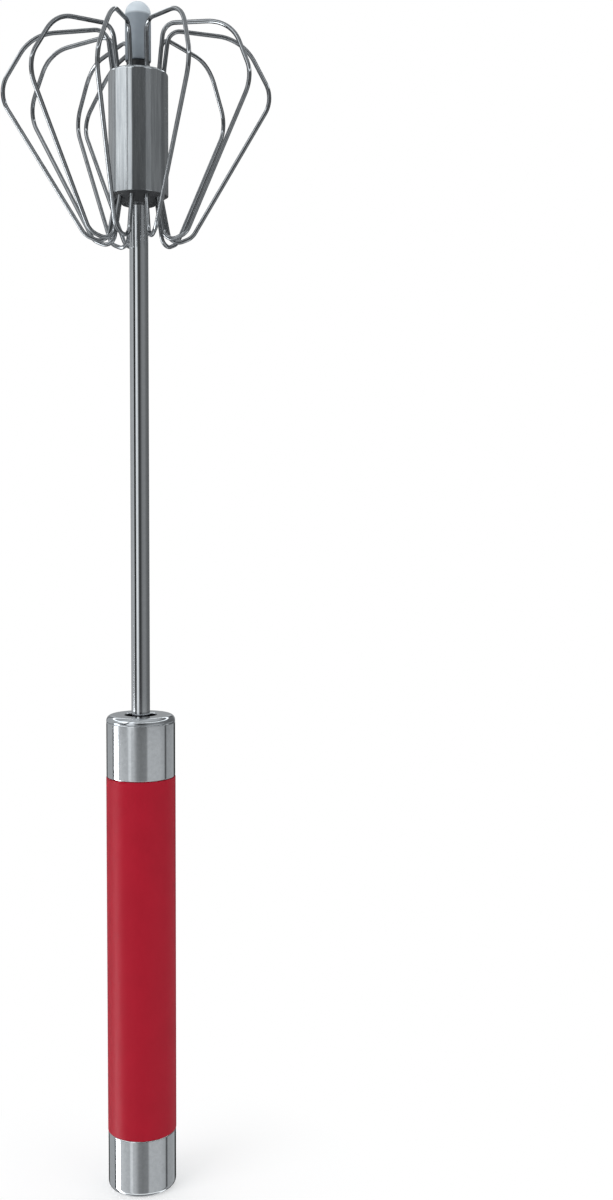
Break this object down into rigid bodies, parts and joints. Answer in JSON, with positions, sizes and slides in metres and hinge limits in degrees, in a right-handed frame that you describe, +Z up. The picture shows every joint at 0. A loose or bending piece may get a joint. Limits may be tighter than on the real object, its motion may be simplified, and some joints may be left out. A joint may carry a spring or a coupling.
{
  "type": "push-down whisk",
  "caption": "Push-down whisk whose wire head spins as its red and steel handle slides over a hollow shaft, with a foot that turns freely.",
  "frame": {"origin": "centre of the handle's flat end, which the whisk stands on", "axes": "+Z up the whisk's axis from the handle's end to the foot, +Y away from the front; the front is -Y"},
  "size_m": [0.0762, 0.07, 0.344],
  "materials": {
    "satin_steel": "satin steel with faint rolling grain",
    "bright_steel": "polished, with fine rubbed scratches",
    "shaft_steel": "polished tube",
    "sleeve_steel": "brushed lengthwise, lightly scratched",
    "wire_steel": "drawn wire, semi-bright",
    "spring_steel": "plain spring wire",
    "inner_steel": "plain steel",
    "red_grip": "satin red coat",
    "dark_plastic": "moulded, dark grey",
    "inner_plastic": "moulded, natural",
    "stop_rubber": "matt",
    "foot_plastic": "satin, pale grey"
  },
  "bodies": {
    "handle": {"handle_tube": "inner_steel", "grip_sleeve": "red_grip", "top_ferrule": "satin_steel", "end_cap": "satin_steel", "top_plug": "bright_steel", "shaft_guide": "dark_plastic", "end_plug": "inner_plastic", "twisted_strip": "inner_steel", "strip_pin": "inner_steel", "spring_seat": "inner_steel", "return_spring": "spring_steel"},
    "follower": {"thrust_washer": "inner_steel"},
    "head": {"shaft_tube": "shaft_steel", "drive_nut": "inner_plastic", "nut_pin": "inner_steel", "stop_washer": "stop_rubber", "hub_core": "dark_plastic", "hub_sleeve": "sleeve_steel", "foot_pin": "inner_steel", "wire_loop_01": "wire_steel", "wire_loop_02": "wire_steel", "wire_loop_03": "wire_steel", "wire_loop_04": "wire_steel", "wire_loop_05": "wire_steel", "wire_loop_06": "wire_steel", "wire_loop_07": "wire_steel", "wire_loop_08": "wire_steel", "wire_loop_09": "wire_steel", "wire_loop_10": "wire_steel"},
    "foot": {"foot_tip": "foot_plastic"}
  },
  "joints": [
    {"name": "handle_push", "type": "slide", "parent": "handle", "child": "follower", "axis": [0, 0, -1], "range_m": [0, 0.075], "stiffness_N_per_m": 100, "springref_m": -0.04, "deforming": ["return_spring"]},
    {"name": "head_spin", "type": "hinge", "parent": "follower", "child": "head", "pos_m": [0, 0, 0.11], "axis": [0, 0, -1], "range_deg": [0, 845]},
    {"name": "foot_spin", "type": "hinge", "parent": "head", "child": "foot", "pos_m": [0, 0, 0.33], "axis": [0, 0, 1], "continuous": true}
  ],
  "couplings": [
    {"joint": "head_spin", "follows": "handle_push", "rad_per_m": 196.35}
  ]
}
